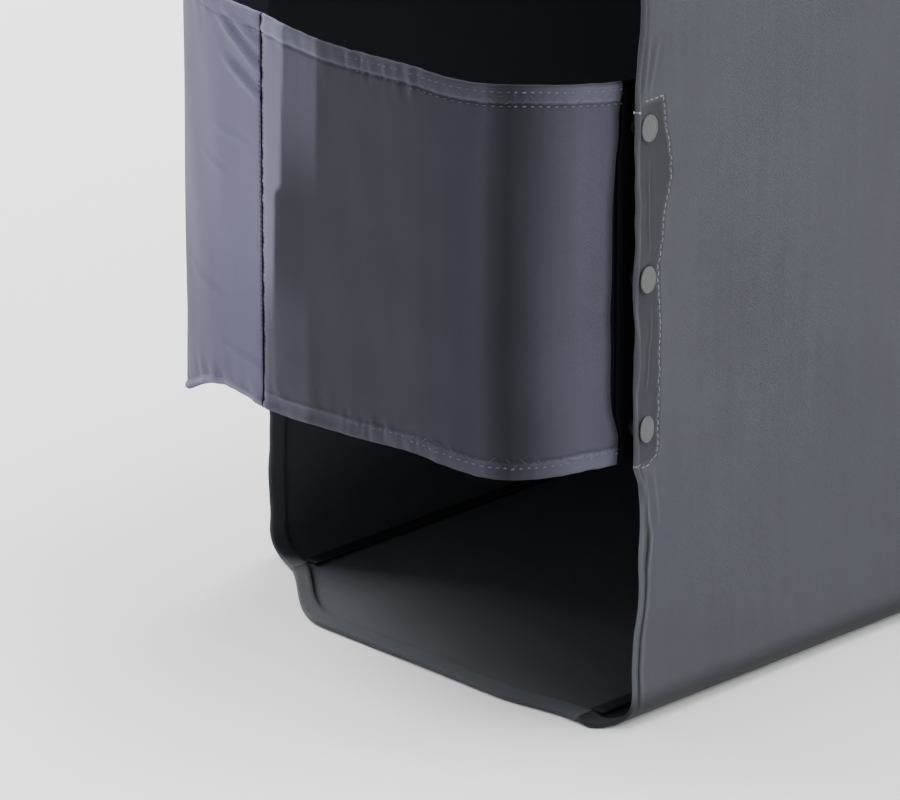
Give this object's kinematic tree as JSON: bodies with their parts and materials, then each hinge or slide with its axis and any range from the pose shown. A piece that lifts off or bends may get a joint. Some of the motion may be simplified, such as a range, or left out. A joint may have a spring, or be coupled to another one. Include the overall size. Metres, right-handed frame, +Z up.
{
  "type": "luggage cover with closing strap",
  "caption": "Stretch-fabric suitcase cover, open at the wheel end, with a wide hemmed strap sewn to the back panel that crosses the mouth and snaps inside the front panel.",
  "frame": {"origin": "centre of the bounding box's bottom: the cover lies on its lower long side", "axes": "+Z up from the lower to the upper long side, +Y from the wheel end (mouth and strap) to the handle end, +X from the back panel to the front panel"},
  "size_m": [0.28, 0.66, 0.4547],
  "materials": {
    "cover_cloth": "matt stretch weave",
    "strap_cloth": "matt stretch weave",
    "strap_root_cloth": "matt stretch weave",
    "tape_cloth": "woven tape",
    "elastic": "knitted elastic",
    "snap_cap": "satin, warm grey",
    "snap_metal": "gunmetal plated",
    "zip_coil": "moulded coil",
    "zip_metal": "dark lacquer"
  },
  "bodies": {
    "cover": {"front_panel": "cover_cloth", "back_panel": "cover_cloth", "lower_side_panel": "cover_cloth", "upper_side_panel": "cover_cloth", "handle_end_panel": "cover_cloth", "front_mouth_hem": "cover_cloth", "back_mouth_hem": "cover_cloth", "lower_mouth_hem": "cover_cloth", "upper_mouth_hem": "cover_cloth", "placket_facing": "cover_cloth", "handle_slot_facing": "tape_cloth", "front_seam_tape": "tape_cloth", "back_seam_tape": "tape_cloth", "zip_tape_front": "tape_cloth", "zip_tape_back": "tape_cloth", "back_mouth_elastic": "elastic", "lower_mouth_elastic": "elastic", "upper_mouth_elastic": "elastic", "snap_cap_1": "snap_cap", "snap_cap_2": "snap_cap", "snap_cap_3": "snap_cap", "snap_socket_1": "snap_metal", "snap_socket_2": "snap_metal", "snap_socket_3": "snap_metal", "zip_coil_front": "zip_coil", "zip_coil_back": "zip_coil", "zip_stop_closed": "zip_metal", "zip_stop_open": "zip_metal"},
    "closing_strap": {"strap_main_panel": "strap_cloth", "strap_root_panel": "strap_root_cloth", "strap_upper_hem": "strap_cloth", "strap_lower_hem": "strap_cloth", "strap_upper_elastic": "elastic", "strap_lower_elastic": "elastic", "strap_seam_tape": "tape_cloth", "strap_end_facing": "tape_cloth", "snap_stud_1": "snap_metal", "snap_stud_2": "snap_metal", "snap_stud_3": "snap_metal", "snap_post_1": "snap_metal", "snap_post_2": "snap_metal", "snap_post_3": "snap_metal"},
    "slider": {"zip_slider": "zip_metal"},
    "pull": {"zip_pull": "zip_metal"}
  },
  "joints": [
    {"name": "strap_swing", "type": "hinge", "parent": "cover", "child": "closing_strap", "pos_m": [-0.14, -0.2332, 0.228], "axis": [0, 0, -1], "range_deg": [0, 110]},
    {"name": "zip_slide", "type": "slide", "parent": "cover", "child": "slider", "axis": [0, 1, 0], "range_m": [0, 0.165]},
    {"name": "zip_pull_tilt", "type": "hinge", "parent": "slider", "child": "pull", "pos_m": [-0.0008, -0.082, 0.4532], "axis": [1, 0, 0], "range_deg": [-3, 150]}
  ]
}
